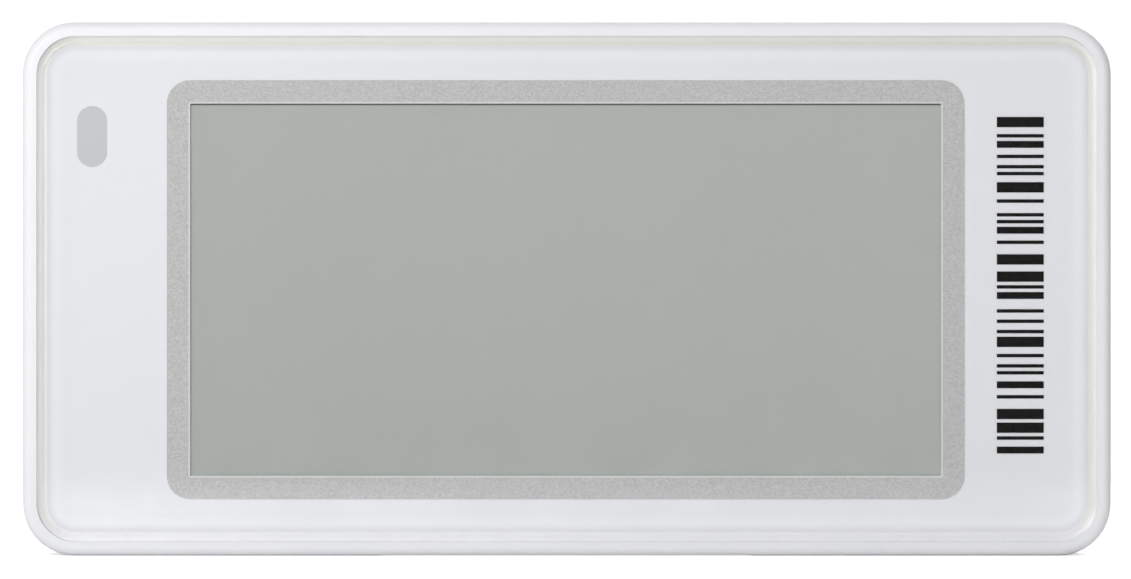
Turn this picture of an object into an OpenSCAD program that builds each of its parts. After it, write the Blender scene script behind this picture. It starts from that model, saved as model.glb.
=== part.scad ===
// Electronic shelf label with a 2.13 inch e-paper display, standing on its lower edge.
// X runs along the width, Z is up, and the display faces -Y.
// The origin is the middle of the underside. Depths are measured from the front face.

/* [Housing] */
// Width of the housing
body_w = 71; // [71:0.5:74]
// Height of the housing
body_h = 34.8; // [34.8:0.2:36]
// Depth of the housing, front face to back face
body_d = 11.2; // [11.2:0.1:12]
// Corner radius seen from the front
corner_r = 3.4; // [3:0.1:3.8]
// Rounding of the front edge
front_edge_r = 0.55; // [0.3:0.05:0.7]
// Rounding of the back edge
rear_edge_r = 0.8; // [0.4:0.1:1]
// Wall thickness
wall = 1.15; // [1.1:0.05:1.2]
// Depth of the seam between front case and rear shell
seam_depth = 5.2; // [5:0.1:5.6]
// Width of the shallow recess in the underside
foot_recess_w = 24.5; // [12:0.5:30]
// Height of that recess
foot_recess_h = 0.13; // [0.08:0.01:0.2]

/* [Lens] */
// Width of the rim round the lens
rim_w = 0.93; // [0.9:0.01:1]
// Thickness of the lens
lens_t = 1; // [0.9:0.05:1]
// Clear edge of the lens outside the print
clear_edge = 0.6; // [0.4:0.1:1]
// Width of the bevel round the lens
lens_bevel = 0.3; // [0.1:0.05:0.5]

/* [Display] */
// Visible width of the display window
window_w = 49.02; // [48:0.1:50]
// Visible height of the display window
window_h = 24.3; // [23.6:0.1:25]
// Sideways place of the display window's middle
window_x = -0.08; // [-0.3:0.02:0.3]
// Width of the grey printed border
border_w = 1.53; // [1:0.1:1.8]
// Outer corner radius of the grey border
border_r = 1.53; // [1:0.1:1.5]
// Width of the display glass
panel_w = 59.2; // [59:0.1:59.4]
// Height of the display glass
panel_h = 29.2; // [28.8:0.1:29.4]

/* [Light window] */
// Width of the light window
light_w = 1.96; // [1.6:0.02:2.4]
// Height of the light window, with its round ends
light_h = 3.98; // [3:0.02:5]
// Sideways place of the light window
light_x = -31; // [-31.2:0.1:-30.8]
// Height of the light window's middle
light_z = 27.35; // [27:0.05:27.6]

/* [Code bars] */
// Length of each bar
bar_len = 3.06; // [2:0.1:3.4]
// Sideways place of the bars' middle
bars_x = 29.6; // [29.2:0.1:29.8]
// Height of the lowest bar's lower edge
bars_z = 6.66; // [6:0.1:7]
// Height of one module of the bar code
module_h = 0.2242; // [0.18:0.01:0.23]

/* [Coin cells] */
// Diameter of a coin cell
cell_dia = 24.5; // [24.4:0.1:24.5]
// Thickness of a coin cell
cell_t = 5; // [4.9:0.1:5]

/* [Battery door] */
// Half the width of the door
door_half_w = 26; // [25.8:0.1:26.2]
// Height of the door's lower edge
door_low_z = 3.25; // [3.2:0.05:3.4]
// Thickness of the door
door_t = 1; // [0.9:0.05:1]
// Radius of the door's hinge pins
hinge_pin_r = 0.4; // [0.35:0.05:0.4]
// Angle the door opens to
door_open_deg = 70; // [60:5:70]

/* [Hidden] */
$fn = 64;
eps = 0.01;
mid_z = body_h / 2;

// Depth levels, from the front face backwards
lens_front = 0.05;
lens_back = lens_front + lens_t;
ink_back = lens_back + 0.03;
mask_back = ink_back + 0.04;
tape_back = mask_back + 0.1;
deck_back = tape_back + 0.4;
glass_front = deck_back + 0.08;
film_t = 0.25;
sheet_t = 0.25;
glass_t = 0.5;
glass_back = glass_front + glass_t;
board_front = glass_back + 0.35;
board_t = 0.8;
board_back = board_front + board_t;
bay_floor_front = board_back + 0.75;
bay_floor_back = bay_floor_front + 0.6;
door_back = body_d;
door_front = body_d - door_t;
cell_back = door_front - 0.1;
cell_front = cell_back - cell_t;
seat_back = door_front - 0.05;
seat_front = seat_back - 0.6;

// Housing
lens_w = body_w - 2 * rim_w - 0.04;
lens_h = body_h - 2 * rim_w - 0.04;
lens_r = corner_r - rim_w;
lens_gap = 0.05;
lip_t = 0.6;
lip_gap = 0.05;
lip_len = 0.95;
foot_ramp = 0.75;
snap_w = 5;
snap_h = 0.22;
snap_xs = [-24, 24];
groove_half_w = 29.2;
groove_front = 7.3;
groove_back = 8.7;
groove_deep = 0.7;
nail_r = 20;
nail_deep = 0.7;
boss_r = 1.6;
pin_r = 0.7;
pin_xz = [[-31.6, 4.8], [-31.6, 23.6]];
post_xz = [[30.9, 4], [30.9, 30.9]];
post_r = 0.9;

// Display
window_z = mid_z - 0.05;
sheet_w = 52.6;
sheet_h = 28;
film_w = 51.2;
film_h = 26.6;
panel_left = window_x - sheet_w / 2 - 0.1;
panel_right = panel_left + panel_w;
ledge_x = window_x + sheet_w / 2;
chip_x = ledge_x + 1.6;
flex_w = 12.5;
flex_t = 0.12;
flex_bond_x = panel_right - 1.9;
flex_bend_x = panel_right + 0.25;
flex_depth = board_back + 0.3;
flex_bend_r = (flex_depth + flex_t - (glass_front - flex_t)) / 2;

// Board
board_left = -33.4;
board_right = 32.4;
board_low = 2;
board_high = body_h - 2;
board_r = 2;

// Flex connector on the back of the board
plug_left = 27.4;
plug_w = 4.2;
plug_t = 1;
plug_h = 15.9;
plug_right = plug_left + plug_w;
latch_axis_x = plug_left + 0.5;
latch_axis_depth = board_back + 0.75;
latch_r = 0.23;
latch_len = 1.5;
latch_h = 14.2;
latch_stub = 0.4;
latch_stub_r = 0.14;
contact_pitch = 0.5;
contact_count = 24;

// Cells and their bay
cell_r = cell_dia / 2;
cell_x = cell_r + 0.35;
bay_r = cell_r + 0.3;
bay_wall = 0.8;
bridge_half_w = 5.2;
bridge_half_h = sqrt(pow(bay_r, 2) - pow(cell_x - bridge_half_w, 2)) - 0.14;
can_t = 0.25;
can_edge_r = 0.5;
cap_r = 10.3;
seal_t = 0.4;
crimp_w = 1.2;
leaf_t = 0.15;
leaf_w = 3;
blade_turn = 43;

// Door
hinge_r = 0.8;
hinge_depth = body_d - hinge_r;
hinge_z = body_h - 3.2;
door_gap = 0.12;
door_r = 2;
hinge_gap = 0.1;
pin_len = 1.2;
pin_gap = 0.05;
latch_half_w = 4;
grip_count = 4;

// ---------- shared shapes ----------

// A front-view outline in X and Z, made solid between two depths
module plate(from, to) {
    translate([0, to - body_d / 2, 0])
        rotate([90, 0, 0])
            linear_extrude(height = to - from)
                children();
}

// A box from one X and Z corner to the other, between two depths
module block(x0, x1, z0, z1, from, to) {
    translate([x0, from - body_d / 2, z0])
        cube([x1 - x0, to - from, z1 - z0]);
}

// A rectangle with rounded corners about its middle
module round_rect(w, h, r) {
    square([w - 2 * r, h], center = true);
    square([w, h - 2 * r], center = true);
    for (sx = [-1, 1], sy = [-1, 1])
        translate([sx * (w / 2 - r), sy * (h / 2 - r)])
            circle(r);
}

// The housing's outline, drawn in by a distance
module body_outline(inset) {
    translate([0, mid_z])
        round_rect(body_w - 2 * inset, body_h - 2 * inset, corner_r - inset);
}

// A section with its two lower corners rounded, as deep as t
module edge_section(w, t, r) {
    translate([-w / 2, r])
        square([w, t - r]);
    translate([r - w / 2, 0])
        square([w - 2 * r, t]);
    for (side = [-1, 1])
        translate([side * (w / 2 - r), r])
            circle(r);
}

// A section with its two lower corners cut off at an angle
module bevel_section(w, t, b) {
    polygon([[-w / 2 + b, 0], [w / 2 - b, 0], [w / 2, b], [w / 2, t], [-w / 2, t], [-w / 2, b]]);
}

// A rounded rectangle swept from a section: the two straight ways, and the corners turned
module swept_block(w, h, corner, t, edge, bevelled = false) {
    module section(across) {
        if (bevelled)
            bevel_section(across, t, edge);
        else
            edge_section(across, t, edge);
    }
    rotate([90, 0, 0])
        linear_extrude(height = h - 2 * corner, center = true)
            section(w);
    rotate([90, 0, 90])
        linear_extrude(height = w - 2 * corner, center = true)
            section(h);
    for (sx = [-1, 1], sy = [-1, 1])
        translate([sx * (w / 2 - corner), sy * (h / 2 - corner), 0])
            rotate_extrude()
                intersection() {
                    section(2 * corner);
                    square([corner, t]);
                }
}

// The same, with its worked edge towards the front or the back
module facing_front(depth) {
    translate([0, depth - body_d / 2, mid_z])
        rotate([-90, 0, 0])
            children();
}

module facing_back(depth) {
    translate([0, depth - body_d / 2, mid_z])
        rotate([90, 0, 0])
            children();
}

// A cylinder along X at a depth and height
module bar_along_x(x0, x1, depth, z, r) {
    translate([x0, depth - body_d / 2, z])
        rotate([0, 90, 0])
            cylinder(h = x1 - x0, r = r);
}

// A cylinder through the depth
module round_post(x, z, r, from, to) {
    plate(from, to)
        translate([x, z])
            circle(r);
}

// The shallow recess in the underside, with a ramp at each end
module foot_recess() {
    half = foot_recess_w / 2;
    plate(-1, body_d + 1)
        translate([window_x, 0])
            polygon([
                [-half, -1], [-half, 0], [-half + foot_ramp, foot_recess_h],
                [half - foot_ramp, foot_recess_h], [half, 0], [half, -1]
            ]);
}

// Both cells' round bays, joined by a bridge, drawn out by a distance
module bay_outline(grow) {
    translate([0, mid_z]) {
        for (side = [-1, 1])
            translate([side * cell_x, 0])
                circle(bay_r + grow);
        square([2 * (bridge_half_w + grow), 2 * (bridge_half_h + grow)], center = true);
    }
}

// ---------- front ----------

module front_case() {
    color("#f1f2f5")
        difference() {
            union() {
                difference() {
                    facing_front(0)
                        swept_block(body_w, body_h, corner_r, seam_depth, front_edge_r);
                    plate(-1, tape_back)
                        translate([0, mid_z])
                            round_rect(lens_w + 2 * lens_gap, lens_h + 2 * lens_gap, lens_r + lens_gap);
                    plate(deck_back, seam_depth + 1)
                        body_outline(wall);
                    plate(seam_depth - lip_len - lip_gap, seam_depth + 1)
                        body_outline(lip_t);
                }
                panel_stops();
                for (at = pin_xz)
                    round_post(at[0], at[1], pin_r, deck_back - eps, bay_floor_back + 1);
            }
            display_opening();
            block(light_x - 1.15, light_x + 1.15, light_z - 1.15, light_z + 1.15, 0, deck_back + 1);
            snap_pockets();
            foot_recess();
        }
}

// Small blocks on the deck that hold the display glass in place
module panel_stops() {
    stop_w = 3;
    stop_gap = 0.1;
    low = window_z - panel_h / 2 - stop_gap;
    high = window_z + panel_h / 2 + stop_gap;
    for (x = [-20:10:20]) {
        block(x - stop_w / 2, x + stop_w / 2, wall - eps, low, deck_back - eps, glass_back);
        block(x - stop_w / 2, x + stop_w / 2, high, body_h - wall + eps, deck_back - eps, glass_back);
    }
    for (z = [8, 20])
        block(panel_left - stop_gap - 0.9, panel_left - stop_gap, z, z + stop_w, deck_back - eps, glass_back);
}

// Openings in the deck for the display's film, the driver chip and the flex
module display_opening() {
    chip_half_h = 8.2;
    plate(0, deck_back + 0.5)
        translate([window_x, window_z])
            square([sheet_w + 0.4, sheet_h + 0.3], center = true);
    block(ledge_x, panel_right + 0.8, window_z - chip_half_h, window_z + chip_half_h, tape_back - eps, deck_back + 1);
}

// Pockets in the lip that the rear shell's snaps click into
module snap_pockets() {
    for (x = snap_xs)
        block(x - snap_w / 2 - 0.1, x + snap_w / 2 + 0.1, lip_t - snap_h - 0.06,
            body_h - lip_t + snap_h + 0.06, seam_depth - 0.75, seam_depth - 0.3);
}

module front_lens() {
    color("#e8ebee", 0.35)
        facing_front(lens_front)
            swept_block(lens_w, lens_h, lens_r, lens_t, lens_bevel, bevelled = true);
}

module grey_border() {
    color("#bbbbbb")
        plate(lens_back, ink_back)
            translate([window_x, window_z])
                difference() {
                    round_rect(window_w + 2 * border_w, window_h + 2 * border_w, border_r);
                    square([window_w, window_h], center = true);
                }
}

// A made-up bar pattern: each bar's and gap's height in modules follows a rule
function bar_modules(i) = 1 + max(0, (2 * i * i + 3 * i + 11) % 13 % 7 - 3);
function gap_modules(i) = 1 + (8 * i * i + 16 * i + 13) % 17 % 3;
function bar_start(i) = i == 0 ? 0 : bar_start(i - 1) + bar_modules(i - 1) + gap_modules(i - 1);

module code_bars() {
    bar_count = 29;
    color("#1e1e1c")
        for (i = [0:bar_count - 1])
            block(bars_x - bar_len / 2, bars_x + bar_len / 2, bars_z + bar_start(i) * module_h,
                bars_z + (bar_start(i) + bar_modules(i)) * module_h, lens_back, ink_back);
}

// A capsule outline, upright
module capsule(w, h) {
    square([w, h - w], center = true);
    for (end = [-1, 1])
        translate([0, end * (h - w) / 2])
            circle(w / 2);
}

module light_tint() {
    color("#c9cccc")
        plate(lens_back, ink_back)
            translate([light_x, light_z])
                capsule(light_w, light_h);
}

module print_mask() {
    color("#e6e8ec")
        plate(ink_back, mask_back)
            difference() {
                translate([0, mid_z])
                    round_rect(lens_w - 2 * clear_edge, lens_h - 2 * clear_edge, lens_r - clear_edge);
                translate([window_x, window_z])
                    square([window_w, window_h], center = true);
                translate([light_x, light_z])
                    capsule(light_w, light_h);
            }
}

module lens_tape() {
    color("#e0e0d4")
        plate(mask_back, tape_back)
            difference() {
                translate([0, mid_z])
                    round_rect(lens_w - 0.3, lens_h - 0.3, lens_r - 0.15);
                translate([window_x, window_z])
                    square([sheet_w + 0.4, sheet_h + 0.3], center = true);
                translate([light_x, light_z])
                    square([3, 5], center = true);
            }
}

module light_pipe() {
    color("#cfd3d3")
        union() {
            block(light_x - 1.05, light_x + 1.05, light_z - 1.07, light_z + 1.07, tape_back - 0.05, deck_back + 0.3);
            block(light_x - 1.7, light_x + 1.7, light_z - 1.7, light_z + 1.7, deck_back + 0.02, deck_back + 0.3);
        }
}

// ---------- display ----------

module panel_sheet(w, h, from, to) {
    plate(from, to)
        translate([window_x, window_z])
            square([w, h], center = true);
}

module display_cover_sheet() {
    color("#c9cdca", 0.5)
        panel_sheet(sheet_w, sheet_h, glass_front - film_t - sheet_t, glass_front - film_t);
}

module display_film() {
    color("#abb0ac")
        panel_sheet(film_w, film_h, glass_front - film_t, glass_front);
}

module display_glass() {
    color("#9fb0a8", 0.6)
        block(panel_left, panel_right, window_z - panel_h / 2, window_z + panel_h / 2, glass_front, glass_back);
}

module driver_chip() {
    color("#2a2b2e")
        block(chip_x - 0.5, chip_x + 0.5, window_z - 6.5, window_z + 6.5, glass_front - 0.3, glass_front);
}

module panel_tape() {
    tape_w = 2.6;
    color("#3a3a3a")
        difference() {
            plate(deck_back, glass_front)
                translate([window_x, window_z])
                    difference() {
                        square([sheet_w + 2 * tape_w, panel_h], center = true);
                        square([sheet_w + 0.4, sheet_h + 0.3], center = true);
                    }
            block(-50, panel_left, 0, body_h, 0, body_d);
            block(ledge_x, 50, window_z - 8.2, window_z + 8.2, 0, body_d);
        }
}

// The display's ribbon: bonded to the glass ledge, round the board's edge, into the connector
module display_flex() {
    mid_depth = (glass_front - flex_t + flex_depth + flex_t) / 2;
    color("#c7772e")
        translate([0, 0, window_z - flex_w / 2])
            linear_extrude(height = flex_w)
                translate([0, -body_d / 2]) {
                    translate([flex_bond_x, glass_front - flex_t])
                        square([flex_bend_x - flex_bond_x, flex_t]);
                    translate([plug_right - 1.9, flex_depth])
                        square([flex_bend_x - plug_right + 1.9, flex_t]);
                    intersection() {
                        translate([flex_bend_x, mid_depth])
                            difference() {
                                circle(flex_bend_r);
                                circle(flex_bend_r - flex_t);
                            }
                        translate([flex_bend_x, 0])
                            square([flex_bend_r + 1, body_d]);
                    }
                }
}

module display_pad() {
    color("#3c3f44")
        panel_sheet(50, 25, glass_back, board_front);
}

// ---------- board and its parts ----------

module main_board() {
    board_w = board_right - board_left;
    board_h = board_high - board_low;
    color("#1f5c3a")
        plate(board_front, board_back)
            difference() {
                translate([board_left + board_w / 2, board_low + board_h / 2])
                    round_rect(board_w, board_h, board_r);
                for (at = pin_xz)
                    translate(at)
                        circle(pin_r + 0.1);
            }
}

module flex_connector() {
    low = window_z - plug_h / 2;
    high = window_z + plug_h / 2;
    back = board_back + plug_t;
    color("#e9e3d2")
        difference() {
            block(plug_left, plug_right, low, high, board_back, back);
            block(plug_right - 2, plug_right + 1, window_z - flex_w / 2 - 0.1, window_z + flex_w / 2 + 0.1,
                flex_depth - 0.04, flex_depth + flex_t + 0.04);
            block(plug_left - 1, latch_axis_x + latch_len + 0.06, window_z - latch_h / 2 - 0.06,
                window_z + latch_h / 2 + 0.06, latch_axis_depth - latch_r - 0.06, back + 1);
            latch_pivot(latch_stub_r + 0.05, latch_h / 2 + latch_stub + 0.05);
        }
}

// A round bar on the connector latch's axis
module latch_pivot(r, half) {
    translate([latch_axis_x, latch_axis_depth - body_d / 2, window_z - half])
        cylinder(h = 2 * half, r = r);
}

module connector_contacts() {
    first = window_z - (contact_count - 1) * contact_pitch / 2;
    color("#d9b44a")
        for (i = [0:contact_count - 1])
            block(plug_left - 0.7, plug_left, first + i * contact_pitch - 0.1, first + i * contact_pitch + 0.1,
                board_back, board_back + 0.15);
}

module connector_latch() {
    color("#3a3431")
        union() {
            latch_pivot(latch_r, latch_h / 2);
            latch_pivot(latch_stub_r, latch_h / 2 + latch_stub);
            block(latch_axis_x, latch_axis_x + latch_len, window_z - latch_h / 2, window_z + latch_h / 2,
                latch_axis_depth - latch_r, latch_axis_depth + latch_r);
        }
}

// A component on the back of the board, by its middle and size
module part_at(x, z, w, h, t) {
    block(x - w / 2, x + w / 2, z - h / 2, z + h / 2, board_back, board_back + t);
}

module radio_chip() {
    color("#26272a")
        part_at(-29.4, 12.4, 5, 5, 0.85);
}

module memory_chip() {
    color("#26272a")
        part_at(-28.3, 7.3, 3, 2, 0.6);
}

module radio_crystal() {
    color("#c4c6c8")
        part_at(-29.6, 17.4, 2.5, 2, 0.6);
}

module clock_crystal() {
    color("#c4c6c8")
        part_at(-28.4, 20.4, 3.2, 1.5, 0.75);
}

// A wound drum between two square flanges
module boost_inductor() {
    flange = 4;
    flange_t = 0.45;
    total = 1.8;
    x = 29.1;
    z = 27.6;
    color("#4a4a4c")
        union() {
            part_at(x, z, flange, flange, flange_t);
            round_post(x, z, 1.7, board_back + flange_t - eps, board_back + total - flange_t + eps);
            block(x - flange / 2, x + flange / 2, z - flange / 2, z + flange / 2,
                board_back + total - flange_t, board_back + total);
        }
}

module rectifier_diodes() {
    color("#2c2c2e")
        for (i = [0:2])
            part_at(28.2, 8 - i * 2.1, 1.7, 1.25, 0.7);
}

// Every component of a kind in rows under the battery bay
module chip_row(x0, z, count, pitch, w, h, t) {
    for (i = [0:count - 1])
        part_at(x0 + i * pitch, z, w, h, t);
}

module capacitors() {
    color("#b89b77")
        union() {
            chip_row(-21, 6.5, 5, 2.2, 1, 0.5, 0.5);
            chip_row(12, 28, 6, 2, 1, 0.5, 0.5);
            for (z = [5.9, 7.2, 8.5])
                part_at(31.1, z, 1.2, 0.8, 0.6);
        }
}

module resistors() {
    color("#1f2023")
        union() {
            chip_row(-20, 28, 5, 2.4, 1, 0.5, 0.35);
            chip_row(12, 6.5, 5, 2.2, 1, 0.5, 0.35);
        }
}

module status_light() {
    color("#f4f1dc")
        block(light_x - 0.8, light_x + 0.8, light_z - 0.4, light_z + 0.4, deck_back + 0.35, board_front);
}

// A folded copper track on the board's upper left corner
module antenna() {
    track_w = 0.5;
    turn_w = 5.4;
    pitch = 1.1;
    turns = 5;
    left = -32.2;
    low = 26.4;
    color("#c98a4b")
        plate(board_back, board_back + 0.04)
            translate([left, low]) {
                for (i = [0:turns - 1])
                    translate([0, i * pitch])
                        square([turn_w, track_w]);
                for (i = [0:turns - 2])
                    translate([i % 2 == 0 ? turn_w - track_w : 0, i * pitch])
                        square([track_w, pitch + track_w]);
            }
}

module test_pads() {
    color("#d9b44a")
        for (i = [0:5])
            round_post(-9 + i * 2.4, 30.4, 0.5, board_back, board_back + 0.04);
}

// ---------- cells ----------

// A shape turned about a cell's axis; its own Y is the way from the cell's back to its front
module turned_cell(side) {
    translate([side * cell_x, cell_back - body_d / 2, mid_z])
        rotate([90, 0, 0])
            rotate_extrude()
                children();
}

module can_profile() {
    difference() {
        union() {
            square([cell_r - can_edge_r, cell_t - 0.3]);
            translate([0, can_edge_r])
                square([cell_r, cell_t - 0.3 - can_edge_r]);
            translate([cell_r - can_edge_r, can_edge_r])
                circle(can_edge_r);
        }
        translate([-can_edge_r, -1])
            square([can_edge_r, cell_t + 1]);
        translate([0, can_t])
            square([cell_r - can_t, cell_t - 0.3 - 2 * can_t]);
        translate([0, cell_t - 0.3 - can_t - eps])
            square([cell_r - crimp_w, 1]);
    }
}

module cell_can(side) {
    plus_len = 5;
    plus_w = 0.8;
    plus_deep = 0.06;
    color("#c9cbcd")
        difference() {
            turned_cell(side)
                can_profile();
            for (turn = [0, 1])
                plate(cell_back - plus_deep, cell_back + 1)
                    translate([side * cell_x, mid_z])
                        rotate(turn * 90)
                            square([plus_len, plus_w], center = true);
        }
}

module cell_can_left() {
    cell_can(-1);
}

module cell_can_right() {
    cell_can(1);
}

module cell_seal(side) {
    color("#2f3033")
        turned_cell(side)
            translate([cell_r - crimp_w - seal_t, cell_t - 1.05])
                square([seal_t, 0.85]);
}

module cell_seal_left() {
    cell_seal(-1);
}

module cell_seal_right() {
    cell_seal(1);
}

module cell_cap(side) {
    inner = cell_r - crimp_w - seal_t;
    color("#d6d7d8")
        turned_cell(side)
            union() {
                translate([0, cell_t - can_t])
                    square([cap_r, can_t]);
                translate([cap_r - can_t, cell_t - 0.8])
                    square([can_t, 0.8]);
                translate([cap_r - can_t, cell_t - 0.8])
                    square([inner - cap_r + can_t, can_t]);
            }
}

module cell_cap_left() {
    cell_cap(-1);
}

module cell_cap_right() {
    cell_cap(1);
}

module cell_core(side) {
    color("#55565a")
        turned_cell(side)
            translate([0, can_t])
                square([cap_r - 0.5, cell_t - 2 * can_t]);
}

module cell_core_left() {
    cell_core(-1);
}

module cell_core_right() {
    cell_core(1);
}

// A leaf spring on the bay's floor: a flat middle, two raised arms and a tail to the board
module negative_contact(side) {
    flat = 3;
    reach = 7;
    seat = bay_floor_back;
    tip = cell_front - 0.02;
    color("#dadcdd")
        translate([side * cell_x, -body_d / 2, mid_z - leaf_w / 2])
            linear_extrude(height = leaf_w)
                union() {
                    polygon([
                        [-reach, tip - leaf_t], [-flat, seat], [flat, seat], [reach, tip - leaf_t],
                        [reach, tip], [flat, seat + leaf_t], [-flat, seat + leaf_t], [-reach, tip]
                    ]);
                    translate([-leaf_t / 2, board_back])
                        square([leaf_t, seat - board_back + leaf_t / 2]);
                }
}

module negative_contact_left() {
    negative_contact(-1);
}

module negative_contact_right() {
    negative_contact(1);
}

// A point beside the right cell: along the blade that touches it, and out from the cell's middle
function blade_point(side, along, out) = [
    side * (cell_x - out * cos(blade_turn) - along * sin(blade_turn)),
    mid_z - out * sin(blade_turn) + along * cos(blade_turn)
];

// A strip in the space between the cells, with one blade against each can
module positive_contact() {
    half = 1.5;
    seat = bay_floor_back;
    touch = cell_r + 0.02;
    low = blade_point(1, -half, touch)[1] + 0.1;
    color("#dadcdd")
        union() {
            for (side = [-1, 1])
                plate(seat, cell_back - 1.5)
                    polygon([
                        blade_point(side, -half, touch), blade_point(side, half, touch),
                        blade_point(side, half, touch + leaf_t), blade_point(side, -half, touch + leaf_t)
                    ]);
            plate(seat, seat + leaf_t)
                polygon([
                    blade_point(-1, half, touch + leaf_t / 2), blade_point(-1, 0, touch + leaf_t / 2), [-3, low],
                    [3, low], blade_point(1, 0, touch + leaf_t / 2), blade_point(1, half, touch + leaf_t / 2)
                ]);
            block(-half, half, low, low + leaf_t, board_back, seat + leaf_t);
        }
}

// ---------- back ----------

module rear_shell() {
    color("#f1f2f5")
        difference() {
            union() {
                shell_walls();
                shell_lip();
                plate(bay_floor_front, door_front)
                    bay_outline(bay_wall);
                block(-door_half_w - 1.3, door_half_w + 1.3, door_low_z - 1.3, hinge_z + 1.4, seat_front, door_front);
                block(-door_half_w - 2.5, door_half_w + 2.5, hinge_z - 1.4, hinge_z + 1.4,
                    hinge_depth - 1.5, door_front);
                for (z = [wall - eps, body_h - wall - 0.7 + eps])
                    block(-groove_half_w - 0.8, groove_half_w + 0.8, z, z + 0.7, groove_front - 0.7, groove_back + 0.7);
                for (at = pin_xz)
                    round_post(at[0], at[1], boss_r, board_back, door_front);
                for (at = post_xz)
                    round_post(at[0], at[1], post_r, board_back, door_front);
            }
            plate(bay_floor_back, door_back)
                bay_outline(0);
            door_recess();
            latch_slot();
            for (at = pin_xz)
                round_post(at[0], at[1], pin_r + 0.06, board_back - 1, bay_floor_back + 1.6);
            contact_slots();
            rail_grooves();
            nail_scoop();
            foot_recess();
        }
}

module shell_walls() {
    difference() {
        facing_back(body_d)
            swept_block(body_w, body_h, corner_r, body_d - seam_depth, rear_edge_r);
        plate(seam_depth - 1, door_front)
            body_outline(wall);
    }
}

// The tongue inside the front case, with the snaps on it
module shell_lip() {
    outer = lip_t + lip_gap;
    plate(seam_depth - lip_len, seam_depth + 0.5)
        difference() {
            body_outline(outer);
            body_outline(wall);
        }
    for (x = snap_xs) {
        block(x - snap_w / 2, x + snap_w / 2, outer - snap_h, outer + eps, seam_depth - 0.7, seam_depth - 0.35);
        block(x - snap_w / 2, x + snap_w / 2, body_h - outer - eps, body_h - outer + snap_h,
            seam_depth - 0.7, seam_depth - 0.35);
    }
}

// Outline of the door from its lower edge to the hinge, drawn out by a distance
module door_outline(grow) {
    low = door_low_z - grow;
    half = door_half_w + grow;
    translate([-half, low + door_r])
        square([2 * half, hinge_z - low - door_r]);
    translate([-half + door_r, low])
        square([2 * (half - door_r), door_r + 1]);
    for (side = [-1, 1])
        translate([side * (half - door_r), low + door_r])
            circle(door_r);
}

// Room for the door, its rounded hinge edge and its pins, with a relief for the open door
module door_recess() {
    clear = hinge_r + 0.05;
    relief = (clear - hinge_r * cos(door_open_deg)) / sin(door_open_deg);
    plate(seat_back, door_back + 1)
        door_outline(door_gap);
    bar_along_x(-door_half_w - door_gap, door_half_w + door_gap, hinge_depth, hinge_z, hinge_r + hinge_gap);
    translate([-door_half_w - door_gap, -body_d / 2, 0])
        rotate([90, 0, 90])
            linear_extrude(height = 2 * (door_half_w + door_gap))
                polygon([
                    [hinge_depth, hinge_z], [hinge_depth, hinge_z + hinge_r + 0.02],
                    [door_back + 0.2, hinge_z + relief], [door_back + 0.2, hinge_z]
                ]);
    bar_along_x(-door_half_w - pin_len - 0.1, door_half_w + pin_len + 0.1, hinge_depth, hinge_z,
        hinge_pin_r + pin_gap);
}

// The slot in the seat that the door's latch passes
module latch_slot() {
    block(-latch_half_w - 0.3, latch_half_w + 0.3, door_low_z + 0.2, door_low_z + 1.6, seat_front - 1, door_back);
}

module contact_slots() {
    for (side = [-1, 1])
        block(side * cell_x - 0.3, side * cell_x + 0.3, mid_z - leaf_w / 2 - 0.2, mid_z + leaf_w / 2 + 0.2,
            bay_floor_front - 1, bay_floor_back + 1);
    block(-1.8, 1.8, 7.75, 8.4, bay_floor_front - 1, bay_floor_back + 1);
}

module rail_grooves() {
    for (z = [-1, body_h - groove_deep])
        block(-groove_half_w, groove_half_w, z, z + 1 + groove_deep, groove_front, groove_back);
}

// A shallow round scoop for a fingernail under the door's lower edge
module nail_scoop() {
    translate([0, body_d / 2 - nail_deep + nail_r, -1])
        cylinder(h = door_low_z + 1, r = nail_r, $fn = 180);
}

module battery_door() {
    color("#eff0f3")
        difference() {
            union() {
                plate(door_front, door_back)
                    door_outline(0);
                bar_along_x(-door_half_w, door_half_w, hinge_depth, hinge_z, hinge_r);
                bar_along_x(-door_half_w - pin_len, door_half_w + pin_len, hinge_depth, hinge_z, hinge_pin_r);
                door_latch();
            }
            grip_grooves();
        }
}

// The tongue behind the door's lower edge, with a nose that hooks under the seat
module door_latch() {
    back_z = door_low_z + 0.3;
    thick = 0.6;
    nose = 0.35;
    translate([-latch_half_w, -body_d / 2, 0])
        rotate([90, 0, 90])
            linear_extrude(height = 2 * latch_half_w)
                polygon([
                    [door_front + eps, back_z], [door_front + eps, back_z + thick],
                    [seat_front - 1, back_z + thick], [seat_front - 1, back_z],
                    [seat_front - 0.5, back_z - nose], [seat_front - 0.1, back_z - nose],
                    [seat_front - 0.1, back_z]
                ]);
}

// Finger grooves across the door above the scoop
module grip_grooves() {
    groove_r = 0.35;
    groove_half = 5;
    pitch = 1.1;
    for (i = [0:grip_count - 1])
        bar_along_x(-groove_half, groove_half, door_back + 0.15, door_low_z + 1.5 + i * pitch, groove_r);
}

// ---------- the whole label ----------

front_case();
front_lens();
grey_border();
code_bars();
light_tint();
print_mask();
lens_tape();
light_pipe();
display_cover_sheet();
display_film();
display_glass();
driver_chip();
panel_tape();
display_flex();
display_pad();
main_board();
flex_connector();
connector_contacts();
connector_latch();
radio_chip();
memory_chip();
radio_crystal();
clock_crystal();
boost_inductor();
rectifier_diodes();
capacitors();
resistors();
status_light();
antenna();
test_pads();
negative_contact_left();
negative_contact_right();
positive_contact();
cell_can_left();
cell_can_right();
cell_seal_left();
cell_seal_right();
cell_cap_left();
cell_cap_right();
cell_core_left();
cell_core_right();
rear_shell();
battery_door();
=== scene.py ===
import math

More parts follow.
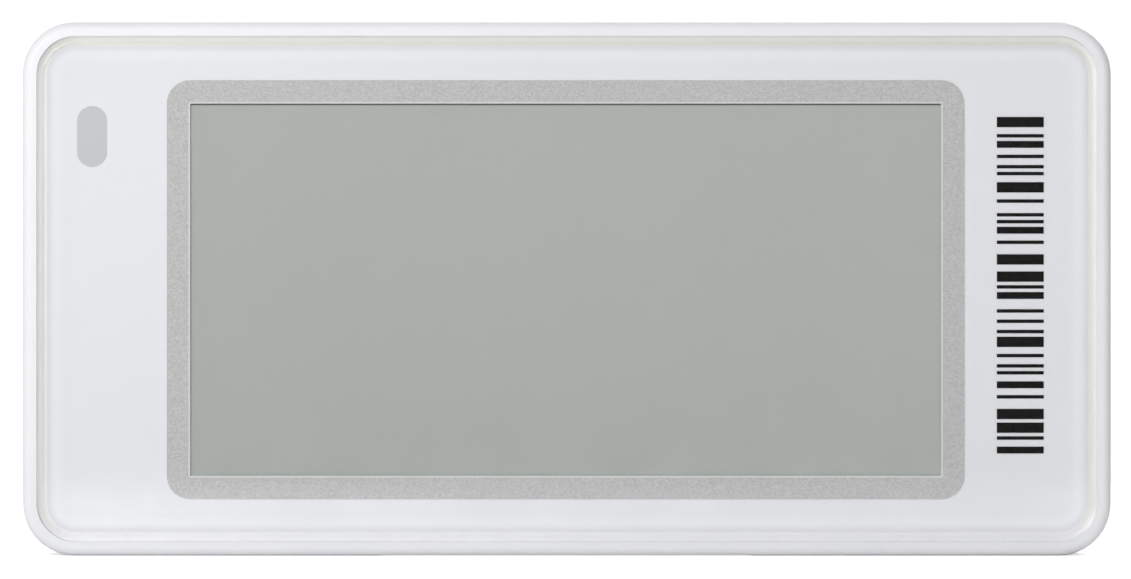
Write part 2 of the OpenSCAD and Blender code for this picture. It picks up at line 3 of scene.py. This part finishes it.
import bmesh
import bpy
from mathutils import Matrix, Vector


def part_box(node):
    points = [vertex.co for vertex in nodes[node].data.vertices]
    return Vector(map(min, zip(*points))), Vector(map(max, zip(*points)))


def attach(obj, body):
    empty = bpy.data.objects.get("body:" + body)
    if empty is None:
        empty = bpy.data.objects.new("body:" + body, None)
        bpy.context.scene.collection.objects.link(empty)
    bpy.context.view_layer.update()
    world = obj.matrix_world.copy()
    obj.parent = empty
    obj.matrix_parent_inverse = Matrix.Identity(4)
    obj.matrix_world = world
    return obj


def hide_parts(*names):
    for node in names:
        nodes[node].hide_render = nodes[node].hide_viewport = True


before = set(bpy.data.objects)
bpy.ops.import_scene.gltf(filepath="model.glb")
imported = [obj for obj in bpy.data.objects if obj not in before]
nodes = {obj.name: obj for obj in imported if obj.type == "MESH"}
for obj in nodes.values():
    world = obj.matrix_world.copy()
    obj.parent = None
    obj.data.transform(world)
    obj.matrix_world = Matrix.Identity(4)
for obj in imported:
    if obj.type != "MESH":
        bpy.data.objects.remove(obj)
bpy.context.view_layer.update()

MM = 0.001  # one millimetre in the frame's metres


# ---------- tools for materials ----------


class Finish:
    """One material's nodes, round a Principled shader.
    Lengths are in millimetres, on the piece's own coordinates."""

    def __init__(self, slot, **values):
        self.material = bpy.data.materials.get(slot) or bpy.data.materials.new(slot)
        self.material.use_nodes = True
        self.tree = self.material.node_tree
        self.tree.nodes.clear()
        self.out = self.add("ShaderNodeOutputMaterial")
        self.shader = self.add("ShaderNodeBsdfPrincipled")
        for name, value in values.items():
            self.shader.inputs[name.replace("_", " ")].default_value = value
        self.link(self.shader.outputs[0], self.out.inputs["Surface"])
        scaled = self.add("ShaderNodeVectorMath", operation="SCALE")
        self.link(self.add("ShaderNodeTexCoord").outputs["Object"], scaled.inputs[0])
        scaled.inputs["Scale"].default_value = 1 / MM
        self.mm = scaled.outputs["Vector"]

    def add(self, kind, **settings):
        node = self.tree.nodes.new(kind)
        for name, value in settings.items():
            setattr(node, name, value)
        return node

    def link(self, source, target):
        """Links a socket to target, or sets target to a plain value."""
        if hasattr(source, "is_linked"):
            self.tree.links.new(source, target)
        else:
            target.default_value = source

    def math(self, operation, a, b=0.0):
        node = self.add("ShaderNodeMath", operation=operation)
        self.link(a, node.inputs[0])
        self.link(b, node.inputs[1])
        return node.outputs[0]

    def stretched(self, x, y, z):
        node = self.add("ShaderNodeVectorMath", operation="MULTIPLY")
        self.link(self.mm, node.inputs[0])
        self.link((x, y, z), node.inputs[1])
        return node.outputs["Vector"]

    def axis(self, name):
        node = self.add("ShaderNodeSeparateXYZ")
        self.link(self.mm, node.inputs[0])
        return node.outputs[name]

    def combined(self, x, y):
        node = self.add("ShaderNodeCombineXYZ")
        self.link(x, node.inputs[0])
        self.link(y, node.inputs[1])
        return node.outputs[0]

    def noise(self, size, detail=2.0, roughness=0.5, coords=None):
        """Smooth noise, 0 to 1, with features about size millimetres across."""
        node = self.add("ShaderNodeTexNoise")
        self.link(coords or self.mm, node.inputs["Vector"])
        node.inputs["Scale"].default_value = 1 / size
        node.inputs["Detail"].default_value = detail
        node.inputs["Roughness"].default_value = roughness
        return node.outputs[0]

    def cells(self, size):
        """Distance to the nearest of random cells about size millimetres across."""
        node = self.add("ShaderNodeTexVoronoi")
        self.link(self.mm, node.inputs["Vector"])
        node.inputs["Scale"].default_value = 1 / size
        return node.outputs["Distance"]

    def cell_numbers(self, size):
        """Random numbers, each held over one cell about size millimetres across."""
        node = self.add("ShaderNodeTexVoronoi")
        self.link(self.mm, node.inputs["Vector"])
        node.inputs["Scale"].default_value = 1 / size
        split = self.add("ShaderNodeSeparateColor")
        self.link(node.outputs["Color"], split.inputs[0])
        return split.outputs

    def weave(self, rate):
        """Crossed waves of rate radians to the millimetre, -1 to 1."""
        return self.math("MULTIPLY", self.math("SINE", self.math("MULTIPLY", self.axis("X"), rate)),
                         self.math("SINE", self.math("MULTIPLY", self.axis("Z"), rate)))

    def lanes(self, name, pitch):
        """0 at each line of a row at this pitch, 0.5 midway between two lines."""
        return self.math("PINGPONG", self.math("DIVIDE", self.axis(name), pitch), 0.5)

    def spread(self, value, low, high, to_low, to_high):
        """value from low..high mapped to to_low..to_high and held there."""
        node = self.add("ShaderNodeMapRange")
        self.link(value, node.inputs["Value"])
        for name, x in (("From Min", low), ("From Max", high), ("To Min", to_low), ("To Max", to_high)):
            node.inputs[name].default_value = x
        return node.outputs[0]

    def mix(self, factor, a, b, blend="MIX"):
        node = self.add("ShaderNodeMix", data_type="RGBA", blend_type=blend)
        self.link(factor, node.inputs[0])
        for colour, socket in ((a, node.inputs[6]), (b, node.inputs[7])):
            self.link((*colour, 1) if isinstance(colour, tuple) else colour, socket)
        return node.outputs[2]

    def times(self, a, b):
        """Two colours multiplied."""
        return self.mix(1.0, a, b, "MULTIPLY")

    def ramp(self, value, *stops):
        """Colours by value: each stop is (value, colour)."""
        start, reach = stops[0][0], stops[-1][0] - stops[0][0]
        node = self.add("ShaderNodeValToRGB")
        self.link(self.spread(value, start, start + reach, 0, 1), node.inputs[0])
        marks = node.color_ramp.elements
        while len(marks) < len(stops):
            marks.new(0.5)
        for mark, (place, colour) in zip(marks, stops):
            mark.position = (place - start) / reach
            mark.color = (*colour, 1)
        return node.outputs[0]

    def inside(self, lo, hi, corner=0.0):
        """How far in millimetres a point lies inside a rounded rectangle on the front, below 0 outside it."""
        reach = []
        for i, name in ((0, "X"), (2, "Z")):
            middle = (lo[i] + hi[i]) / 2 / MM
            from_middle = self.math("ABSOLUTE", self.math("SUBTRACT", self.axis(name), middle))
            reach.append(self.math("ADD", from_middle, corner - (hi[i] - lo[i]) / 2 / MM))
        past = [self.math("POWER", self.math("MAXIMUM", r, 0.0), 2.0) for r in reach]
        away = self.math("SQRT", self.math("ADD", *past))
        within = self.math("MINIMUM", self.math("MAXIMUM", *reach), 0.0)
        return self.math("SUBTRACT", corner, self.math("ADD", away, within))

    def colour(self, source):
        self.link(source, self.shader.inputs["Base Color"])

    def rough(self, source):
        self.link(source, self.shader.inputs["Roughness"])

    def uneven_gloss(self, size, low, high):
        """Roughness from low to high, in patches about size millimetres across."""
        self.rough(self.spread(self.noise(size, 3), 0.3, 0.7, low, high))

    def bump(self, *layers):
        """Stacks (height, millimetres from lowest to highest) layers into the shader's normal."""
        normal = None
        for height, depth in layers:
            node = self.add("ShaderNodeBump")
            node.inputs["Strength"].default_value = 1
            node.inputs["Distance"].default_value = depth * MM
            self.link(height, node.inputs["Height"])
            if normal:
                self.link(normal, node.inputs["Normal"])
            normal = node.outputs[0]
        self.link(normal, self.shader.inputs["Normal"])

    def surface(self, factor, first, second):
        """Blends two shaders, and makes that the surface."""
        both = self.add("ShaderNodeMixShader")
        self.link(factor, both.inputs[0])
        self.link(first, both.inputs[1])
        self.link(second, both.inputs[2])
        self.link(both.outputs[0], self.out.inputs["Surface"])
        return both.outputs[0]

    def see_through(self, share, tint=(1, 1, 1)):
        """Lets this share of the light straight through, under the finish."""
        clear = self.add("ShaderNodeBsdfTransparent")
        clear.inputs[0].default_value = (*tint, 1)
        return self.surface(share, self.shader.outputs[0], clear.outputs[0])


def grey_level(x):
    return x, x, x


# ---------- plastics ----------


def moulded(slot, base, other, roughness=(0.36, 0.5), grain=0.11, deep=0.0011, **values):
    """Moulded plastic: a fine spark-eroded grain, faint flow shading and uneven gloss."""
    f = Finish(slot, **values)
    f.colour(f.mix(f.spread(f.noise(7.0, 3), 0.35, 0.65, 0, 1), base, other))
    f.uneven_gloss(0.7, *roughness)
    f.bump((f.noise(6.0, 1), 0.006), (f.noise(grain, 3, 0.6), deep))


def clear_plastic(slot, mirror_edge=False):
    """Clear acrylic. Lamps and diffuse light pass straight through, so what lies under it is lit cleanly.
    The polished side wall turns diffuse light back in, as total internal reflection does."""
    f = Finish(slot, IOR=1.49, Transmission_Weight=1.0)
    haze = f.noise(4.0, 1)
    f.colour(f.mix(haze, (0.998, 1, 0.998), (0.992, 0.996, 0.996)))
    f.rough(f.spread(haze, 0.35, 0.7, 0.03, 0.07))
    f.bump((haze, 0.0006))
    path = f.add("ShaderNodeLightPath")
    diffuse = path.outputs["Is Diffuse Ray"]
    straight = f.see_through(f.math("MAXIMUM", path.outputs["Is Shadow Ray"], diffuse), grey_level(0.985))
    if mirror_edge:
        mirror = f.add("ShaderNodeBsdfGlossy")
        mirror.inputs["Roughness"].default_value = 0.0
        mirror.inputs["Color"].default_value = (*grey_level(0.97), 1)
        from_within = f.add("ShaderNodeNewGeometry").outputs["Backfacing"]
        f.surface(f.math("MULTIPLY", diffuse, from_within), straight, mirror.outputs[0])


moulded("housing_white", (0.85, 0.85, 0.868), (0.832, 0.834, 0.855), IOR=1.52)
clear_plastic("lens_clear")
clear_plastic("lens_clear_edge", mirror_edge=True)
moulded("light_guide", (0.79, 0.8, 0.8), (0.76, 0.78, 0.78), (0.2, 0.35), 0.3, 0.001, IOR=1.5)
moulded("chip_black", (0.022, 0.022, 0.024), (0.034, 0.034, 0.036), (0.45, 0.62), 0.06, 0.0022)
moulded("tape_black", (0.03, 0.03, 0.032), (0.04, 0.04, 0.042), (0.4, 0.6), 0.4, 0.002)
moulded("connector_cream", (0.8, 0.74, 0.58), (0.77, 0.71, 0.55), (0.35, 0.5), 0.08, 0.0012)
moulded("latch_dark", (0.05, 0.04, 0.035), (0.065, 0.052, 0.045), (0.35, 0.5), 0.08, 0.0012)
moulded("ferrite_dark", (0.06, 0.06, 0.064), (0.1, 0.1, 0.104), (0.55, 0.75), 0.09, 0.004)
moulded("ceramic_tan", (0.42, 0.3, 0.17), (0.5, 0.37, 0.22), (0.35, 0.55), 0.05, 0.0015)
moulded("lamp_white", (0.9, 0.87, 0.68), (0.85, 0.82, 0.62), (0.25, 0.4), 0.2, 0.001)
moulded("cell_seal", (0.03, 0.03, 0.032), (0.045, 0.045, 0.047), (0.4, 0.6), 0.1, 0.002)


# ---------- prints on the back of the lens ----------

MASK_CORNER = 1.87  # corner radius of the white print, millimetres
BORDER = Vector((1.53, 0, 1.53)) * MM  # width of the grey print round the display
FLAKE_SIZE = 0.075  # sparkle in the grey print, millimetres

border_lo, border_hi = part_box("grey_border")
window_lo, window_hi = border_lo + BORDER, border_hi - BORDER


def ink(slot):
    """Ink under the lens, with no shine of its own."""
    f = Finish(slot, Specular_IOR_Level=0.0)
    f.uneven_gloss(1.4, 0.48, 0.62)
    return f


def printed(slot, base, other):
    """Screen-printed ink: the mesh's faint weave and soft mottling. Returns the finish and its colour."""
    f = ink(slot)
    mesh_pitch = 0.09
    mottle = f.noise(0.5, 4, 0.65)
    tone = f.mix(f.spread(mottle, 0.3, 0.7, 0, 1), base, other)
    f.colour(tone)
    f.bump((mottle, 0.0012), (f.weave(2 * math.pi / mesh_pitch), 0.0006))
    return f, tone


def white_print():
    """White ink. A fixed gradient round its edge is painted light: painted shade at the edge for the light
    lost under the rim, and a painted lighter band just inside it.
    """
    f, tone = printed("ink_white", (0.94, 0.946, 0.97), (0.925, 0.932, 0.96))
    # painted light by distance inside the print, mm: painted shade at the edge, a painted lighter band 0.5 to
    # 0.72 mm in
    painted_light_by_distance_inside = (
        (0.0, (0.89, 0.885, 0.895)),
        (0.13, (0.885, 0.88, 0.892)),
        (0.32, grey_level(0.94)),
        (0.5, grey_level(0.97)),
        (0.72, grey_level(0.97)),
        (1.15, grey_level(0.93)),
    )
    lo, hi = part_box("print_mask")
    f.colour(f.times(tone, f.ramp(f.inside(lo, hi, MASK_CORNER), *painted_light_by_distance_inside)))


def grey_print():
    """Grey ink with a fine sparkle, and a thin lit edge next to the display."""
    f = ink("ink_grey")
    flake = f.cell_numbers(FLAKE_SIZE)
    flecks = f.mix(flake[0], (0.495, 0.495, 0.49), (0.64, 0.64, 0.635))
    lit_edge = f.spread(f.inside(window_lo, window_hi), -0.14, -0.08, 0, 1)
    f.colour(f.mix(lit_edge, flecks, (0.74, 0.74, 0.73)))
    f.bump((flake[1], 0.004))


def tint_print():
    """Translucent grey ink over the light window."""
    f, _ = printed("ink_tint", (0.81, 0.825, 0.84), (0.77, 0.79, 0.8))
    f.see_through(0.35, (0.96, 0.97, 0.97))


white_print()
printed("ink_black", (0.01, 0.01, 0.009), (0.017, 0.017, 0.016))
grey_print()
tint_print()


# ---------- adhesive and display ----------

DISPLAY_GRAIN = 0.05  # size of an e-paper capsule as drawn, millimetres
PIXEL_PITCH = 0.19  # of the transistor grid, millimetres


def lens_adhesive():
    """Milky adhesive, drawn opaque. Fixed gradients upward and across stand in for uneven light."""
    f = Finish("tape_clear")
    lo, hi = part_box("lens_tape")
    left, low = lo.x / MM, lo.z / MM
    right, high = hi.x / MM, hi.z / MM
    upward = f.ramp(f.axis("Z"), (low, (0.98, 0.98, 1.0)), (low + 1.5, (0.96, 0.955, 0.94)),
                    (high - 2, (0.96, 0.955, 0.94)), (high - 0.6, (0.885, 0.887, 0.83)))
    wetting = f.mix(f.spread(f.noise(0.9, 4, 0.7), 0.35, 0.65, 0, 1), grey_level(0.985), grey_level(1.0))
    across = f.ramp(f.axis("X"), (left, grey_level(1)), (left + 1, grey_level(0.93)),
                    (right - 2, grey_level(0.93)), (right, grey_level(0.86)))
    f.colour(f.times(f.times(upward, wetting), across))
    f.uneven_gloss(0.5, 0.25, 0.5)
    f.bump((f.noise(0.45, 3), 0.004), (f.cells(0.6), 0.002))


def display_film():
    """Matt protective film. It carries most of the display's tone, a fixed gradient across that stands in for
    uneven light, and a thin painted shadow line under the window's upper edge."""
    f = Finish("cover_film", IOR=1.45)
    matt = f.noise(0.06, 1)
    across = f.ramp(f.axis("X"), (window_lo.x / MM, grey_level(0.9)), (window_hi.x / MM, grey_level(1.0)))
    tone = f.times(f.mix(matt, (0.645, 0.683, 0.64), (0.68, 0.717, 0.675)), across)
    # painted shadow: a dark line just under the window's upper edge
    below_edge = f.math("SUBTRACT", window_hi.z / MM, f.axis("Z"))
    f.colour(f.mix(f.spread(below_edge, 0.07, 0.13, 1, 0), tone, (0.12, 0.125, 0.125)))
    f.rough(f.spread(matt, 0.3, 0.7, 0.42, 0.56))
    f.bump((matt, 0.0006))
    f.see_through(0.3)


def display_paper():
    """Microcapsules of mixed greys."""
    f = Finish("epaper_grey")
    capsule = f.math("MULTIPLY", f.cell_numbers(DISPLAY_GRAIN)[0], 0.6)
    cloud = f.math("MULTIPLY", f.noise(5.0, 3), 0.4)
    f.colour(f.mix(f.math("ADD", capsule, cloud), (0.43, 0.455, 0.425), (0.465, 0.49, 0.46)))
    f.uneven_gloss(0.8, 0.62, 0.78)
    f.bump((f.cells(DISPLAY_GRAIN), 0.0015))


def display_glass():
    """Thin glass with the transistor grid on it."""
    f = Finish("panel_glass", IOR=1.52)
    nearest = f.math("MINIMUM", f.lanes("Z", PIXEL_PITCH), f.lanes("X", PIXEL_PITCH))
    wire = f.spread(nearest, 0.03, 0.07, 1, 0)
    f.colour(f.mix(wire, (0.2, 0.25, 0.22), (0.36, 0.4, 0.36)))
    f.uneven_gloss(1.0, 0.06, 0.16)
    f.bump((wire, 0.0005))


lens_adhesive()
display_film()
display_paper()
display_glass()


# ---------- foam, flex and board ----------

FOAM_CELL = 0.22  # millimetres
TRACK_PITCH = 0.5  # of the flex's tracks, millimetres


def foam():
    """Closed cells."""
    f = Finish("foam_grey")
    f.colour(f.mix(f.spread(f.cells(FOAM_CELL), 0.1, 0.6, 0, 1), (0.03, 0.033, 0.036), (0.085, 0.09, 0.095)))
    f.uneven_gloss(0.6, 0.82, 0.98)
    f.bump((f.cells(FOAM_CELL), 0.05), (f.noise(0.08, 2), 0.01))


def flex():
    """Amber film over darker copper tracks."""
    f = Finish("flex_amber", Coat_Weight=0.4, Coat_Roughness=0.15)
    track = f.spread(f.lanes("Z", TRACK_PITCH), 0.2, 0.24, 0, 1)
    f.colour(f.mix(track, (0.3, 0.12, 0.02), (0.62, 0.27, 0.06)))
    f.uneven_gloss(0.8, 0.2, 0.38)
    f.bump((track, 0.012), (f.noise(1.6, 2), 0.01))


def circuit_board():
    """Green solder mask over runs of track, a glass weave, and gold vias."""
    f = Finish("board_green", Coat_Weight=0.3, Coat_Roughness=0.2)
    glass_weave_rate = 14
    runs = f.add("ShaderNodeTexBrick", offset=0.37, squash=0.6, squash_frequency=3)
    f.link(f.combined(f.axis("X"), f.axis("Z")), runs.inputs["Vector"])
    runs.inputs["Scale"].default_value = 0.42
    runs.inputs["Mortar Size"].default_value = 0.045
    runs.inputs["Mortar Smooth"].default_value = 0.2
    lines = runs.outputs["Fac"]
    via = f.spread(f.cells(1.9), 0.1, 0.13, 1, 0)
    solder_mask = f.mix(lines, (0.012, 0.085, 0.036), (0.03, 0.17, 0.07))
    f.colour(f.mix(via, solder_mask, (0.62, 0.45, 0.16)))
    f.uneven_gloss(1.5, 0.24, 0.4)
    f.bump((lines, 0.02), (f.weave(glass_weave_rate), 0.004), (f.noise(0.4, 3), 0.003))


foam()
flex()
circuit_board()


# ---------- metals ----------

TURNING_RATE = 9  # turning marks to the millimetre of radius


def metal(slot, base, other, roughness, brushed=None):
    """Bare or plated metal: fine working marks along one way, uneven tarnish and gloss."""
    f = Finish(slot, Metallic=1.0)
    f.colour(f.mix(f.spread(f.noise(2.2, 4, 0.6), 0.3, 0.7, 0, 1), base, other))
    marks = f.noise(0.25, 3, 0.6, f.stretched(*brushed) if brushed else None)
    halves = f.math("MULTIPLY", marks, 0.5), f.math("MULTIPLY", f.noise(1.3, 3), 0.5)
    f.rough(f.spread(f.math("ADD", *halves), 0.35, 0.65, *roughness))
    f.bump((marks, 0.0006))


def cell_steel():
    """Pressed steel with turning marks round each cell's axis.
    The two cells stand evenly about the middle."""
    f = Finish("cell_steel", Metallic=1.0)
    lo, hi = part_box("cell_can_right")
    side = f.math("SUBTRACT", f.math("ABSOLUTE", f.axis("X")), (lo.x + hi.x) / 2 / MM)
    up = f.math("SUBTRACT", f.axis("Z"), (lo.z + hi.z) / 2 / MM)
    radius = f.math("SQRT", f.math("ADD", f.math("MULTIPLY", side, side), f.math("MULTIPLY", up, up)))
    outward = f.math("MULTIPLY", radius, TURNING_RATE)
    deep = f.math("MULTIPLY", f.axis("Y"), TURNING_RATE)
    turning = f.noise(1.0, 4, 0.6, f.combined(outward, deep))
    f.colour(f.mix(f.spread(f.noise(3.5, 4, 0.65), 0.3, 0.75, 0, 1), (0.72, 0.72, 0.71), (0.62, 0.62, 0.61)))
    f.rough(f.spread(f.math("ADD", turning, f.noise(0.9, 3)), 0.75, 1.25, 0.2, 0.36))
    f.bump((turning, 0.0012), (f.noise(0.2, 2), 0.0005))


metal("contact_gold", (0.86, 0.62, 0.25), (0.8, 0.55, 0.2), (0.18, 0.32))
metal("copper_track", (0.78, 0.4, 0.2), (0.66, 0.32, 0.15), (0.25, 0.4))
metal("crystal_steel", (0.66, 0.67, 0.68), (0.58, 0.59, 0.6), (0.22, 0.38), (8, 1, 1))
metal("spring_nickel", (0.75, 0.75, 0.74), (0.66, 0.66, 0.64), (0.2, 0.36), (0.25, 6, 6))
metal("cell_core", (0.2, 0.2, 0.21), (0.14, 0.14, 0.15), (0.4, 0.6))
cell_steel()


# ---------- lens ----------

LENS_GROWTH = 0.035 * MM  # closes most of the fitting gap, which stays open at the corners
LENS_BEVEL = 0.3 * MM
LENS_SOFT = 0.07 * MM  # how far the bevel's two edges are softened
LENS_CORNER = 2.6 * MM
LENS_CHAMFER = 0.09 * MM  # at the back
LENS_BACK_GAP = 0.004 * MM  # keeps the back face off the prints
SIDE_WALL = (6, 7)  # the steps of the profile that make the polished side wall


def outline(width, height, corner, steps=14):
    """Points of a rounded rectangle round the origin, in order."""
    points = []
    for quarter, (sx, sz) in enumerate(((1, 1), (-1, 1), (-1, -1), (1, -1))):
        for i in range(steps + 1):
            a = (quarter + i / steps) * math.pi / 2
            x = sx * (width / 2 - corner) + corner * math.cos(a)
            z = sz * (height / 2 - corner) + corner * math.sin(a)
            points.append((x, z))
    return points


def lens_profile(depth):
    """(inset, depth) of each outline of the lens, from the front face to the back."""
    return [
        (LENS_BEVEL + LENS_SOFT * 1.4, 0),
        (LENS_BEVEL + LENS_SOFT * 0.6, 0.006 * MM),
        (LENS_BEVEL, 0.022 * MM),
        (LENS_BEVEL - LENS_SOFT * 0.7, LENS_SOFT),
        (LENS_SOFT * 0.7, LENS_BEVEL - LENS_SOFT),
        (0.012 * MM, LENS_BEVEL - 0.01 * MM),
        (0, LENS_BEVEL + LENS_SOFT * 0.8),
        (0, depth * 0.5),
        (0, depth - LENS_CHAMFER),
        (0.03 * MM, depth - 0.03 * MM),
        (LENS_CHAMFER, depth - LENS_BACK_GAP),
    ]


def lens_piece():
    """The clear cover: a flat pane with a cut bevel, its two edges softened, and a small back chamfer."""
    lo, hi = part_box("front_lens")
    middle = (lo + hi) / 2
    width, height = hi.x - lo.x + 2 * LENS_GROWTH, hi.z - lo.z + 2 * LENS_GROWTH
    bm = bmesh.new()
    rings = []
    for inset, depth in lens_profile(hi.y - lo.y):
        ring = outline(width - 2 * inset, height - 2 * inset, LENS_CORNER - inset)
        rings.append([bm.verts.new((middle.x + x, lo.y + depth, middle.z + z)) for x, z in ring])
    count = len(rings[0])
    for level, (a, b) in enumerate(zip(rings, rings[1:])):
        for i in range(count):
            face = bm.faces.new((a[i], a[(i + 1) % count], b[(i + 1) % count], b[i]))
            face.smooth = True
            face.material_index = 1 if level in SIDE_WALL else 0
    bm.faces.new(rings[0])
    bm.faces.new(rings[-1])
    bmesh.ops.recalc_face_normals(bm, faces=bm.faces)
    mesh = bpy.data.meshes.new("lens_pane")
    bm.to_mesh(mesh)
    bm.free()
    pane = bpy.data.objects.new("lens_pane", mesh)
    bpy.context.scene.collection.objects.link(pane)
    for name in ("lens_clear", "lens_clear_edge"):
        mesh.materials.append(bpy.data.materials[name])
    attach(pane, "root")
    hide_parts("front_lens")


lens_piece()


# ---------- softened edges ----------

SHARP_ANGLE = 28  # degrees between faces from which an edge is rounded
FLAT_ANGLE = 0.5  # degrees within which faces are joined as one
WELD_DISTANCE = 0.0005 * MM
SOFT_EDGES = (  # node, width of its rounded edges in millimetres
    ("front_case", 0.06),
    ("rear_shell", 0.06),
    ("battery_door", 0.08),
    ("light_pipe", 0.05),
    ("flex_connector", 0.05),
    ("connector_latch", 0.03),
    ("radio_chip", 0.05),
    ("memory_chip", 0.04),
    ("radio_crystal", 0.08),
    ("clock_crystal", 0.08),
    ("boost_inductor", 0.08),
    ("rectifier_diodes", 0.04),
    ("capacitors", 0.04),
    ("resistors", 0.03),
    ("status_light", 0.03),
    ("main_board", 0.04),
    ("negative_contact_left", 0.02),
    ("negative_contact_right", 0.02),
    ("positive_contact", 0.02),
    ("cell_can_left", 0.03),
    ("cell_can_right", 0.03),
    ("driver_chip", 0.02),
)


def soften(name, width):
    """Rounds a CAD node's sharp edges by modifiers and shades it smoothly.
    Its vertices and faces aren't changed."""
    o = nodes[name]
    if "custom_normal" in o.data.attributes:
        o.data.attributes.remove(o.data.attributes["custom_normal"])
    o.data.shade_smooth()
    weld = o.modifiers.new("weld", "WELD")
    weld.merge_threshold = WELD_DISTANCE
    flat = o.modifiers.new("flat", "DECIMATE")
    flat.decimate_type = "DISSOLVE"
    flat.angle_limit = math.radians(FLAT_ANGLE)
    bevel = o.modifiers.new("bevel", "BEVEL")
    bevel.width = width * MM
    bevel.segments = 2
    bevel.limit_method = "ANGLE"
    bevel.angle_limit = math.radians(SHARP_ANGLE)
    bevel.use_clamp_overlap = True
    bevel.miter_outer = "MITER_ARC"
    normals = o.modifiers.new("normals", "WEIGHTED_NORMAL")
    normals.weight = 90


for name, width in SOFT_EDGES:
    soften(name, width)


# ---------- stage ----------

FLOOR_RADIUS = 0.3  # metres, like every length below
FLOOR_CORNERS = 96
FLOOR_GLOW = 0.5  # light the floor sends to the camera alone
LAMP_TARGET = Vector((0, 0, 0.0174))


def stage_floor():
    """A round pale table. It is small, so that it stays out of the lens's reflections."""
    mesh = bpy.data.meshes.new("floor")
    turns = [2 * math.pi * i / FLOOR_CORNERS for i in range(FLOOR_CORNERS)]
    rim = [(FLOOR_RADIUS * math.cos(a), FLOOR_RADIUS * math.sin(a), 0) for a in turns]
    mesh.from_pydata(rim, [], [range(FLOOR_CORNERS)])
    floor = bpy.data.objects.new("floor", mesh)
    bpy.context.scene.collection.objects.link(floor)
    f = Finish("floor_pale", Roughness=0.8)
    f.colour(f.mix(f.noise(40.0, 3), (0.88, 0.88, 0.885), (0.9, 0.9, 0.9)))
    glow = f.add("ShaderNodeEmission")
    seen = f.add("ShaderNodeLightPath").outputs["Is Camera Ray"]
    f.link(f.math("MULTIPLY", seen, FLOOR_GLOW), glow.inputs["Strength"])
    total = f.add("ShaderNodeAddShader")
    f.link(f.shader.outputs[0], total.inputs[0])
    f.link(glow.outputs[0], total.inputs[1])
    f.link(total.outputs[0], f.out.inputs["Surface"])
    mesh.materials.append(f.material)


def stage_world():
    """A white studio: brighter from above and the left, dim behind the camera, plain white as a backdrop."""
    world = bpy.data.worlds.new("studio")
    bpy.context.scene.world = world
    world.use_nodes = True
    tree = world.node_tree
    tree.nodes.clear()
    add, link = tree.nodes.new, tree.links.new
    way = add("ShaderNodeTexCoord").outputs["Generated"]

    def along(direction, low, high, to_low, to_high):
        """A smooth step by how nearly a ray points in this direction."""
        dot = add("ShaderNodeVectorMath")
        dot.operation = "DOT_PRODUCT"
        dot.inputs[1].default_value = direction
        link(way, dot.inputs[0])
        step = add("ShaderNodeMapRange")
        step.interpolation_type = "SMOOTHSTEP"
        link(dot.outputs["Value"], step.inputs["Value"])
        for name, x in (("From Min", low), ("From Max", high), ("To Min", to_low), ("To Max", to_high)):
            step.inputs[name].default_value = x
        return step.outputs[0]

    total = add("ShaderNodeMath")
    total.operation = "MULTIPLY"
    link(along(Vector((-0.36, 0.1, 0.8)).normalized(), -0.9, 0.9, 0.05, 0.61), total.inputs[0])
    link(along((0, -1, 0), 0.935, 0.98, 1.0, 0.12), total.inputs[1])
    lit = add("ShaderNodeBackground")
    link(total.outputs[0], lit.inputs["Strength"])
    lit.inputs["Color"].default_value = (0.985, 0.99, 1.0, 1)
    plain = add("ShaderNodeBackground")
    plain.inputs["Color"].default_value = (1, 1, 1, 1)
    plain.inputs["Strength"].default_value = 1.05
    both = add("ShaderNodeMixShader")
    link(add("ShaderNodeLightPath").outputs["Is Camera Ray"], both.inputs[0])
    link(lit.outputs[0], both.inputs[1])
    link(plain.outputs[0], both.inputs[2])
    link(both.outputs[0], add("ShaderNodeOutputWorld").inputs["Surface"])


def softbox(name, place, size, power):
    light = bpy.data.lights.new(name, "AREA")
    light.shape = "RECTANGLE"
    light.size, light.size_y = size
    light.energy = power
    o = bpy.data.objects.new(name, light)
    o.location = place
    o.rotation_euler = (LAMP_TARGET - Vector(place)).to_track_quat("-Z", "Y").to_euler()
    o.visible_camera = False
    bpy.context.scene.collection.objects.link(o)


def stage_camera():
    """Straight from the front, from far enough away that the sides don't show."""
    camera = bpy.data.objects.new("camera", bpy.data.cameras.new("camera"))
    camera.data.sensor_width = 36
    camera.data.lens = 390.4
    camera.data.clip_start, camera.data.clip_end = 0.05, 20
    camera.location = (-0.09 * MM, -0.8056, 17.364 * MM)
    camera.rotation_euler = (math.pi / 2, 0, 0)
    bpy.context.scene.collection.objects.link(camera)
    bpy.context.scene.camera = camera


stage_floor()
stage_world()
softbox("key", (-0.1, -0.22, 0.088), (0.08, 0.08), 0.28)
softbox("back", (0.35, 0.62, 0.5), (0.4, 0.3), 3.3)
stage_camera()

bpy.context.scene.view_settings.view_transform = "Standard"
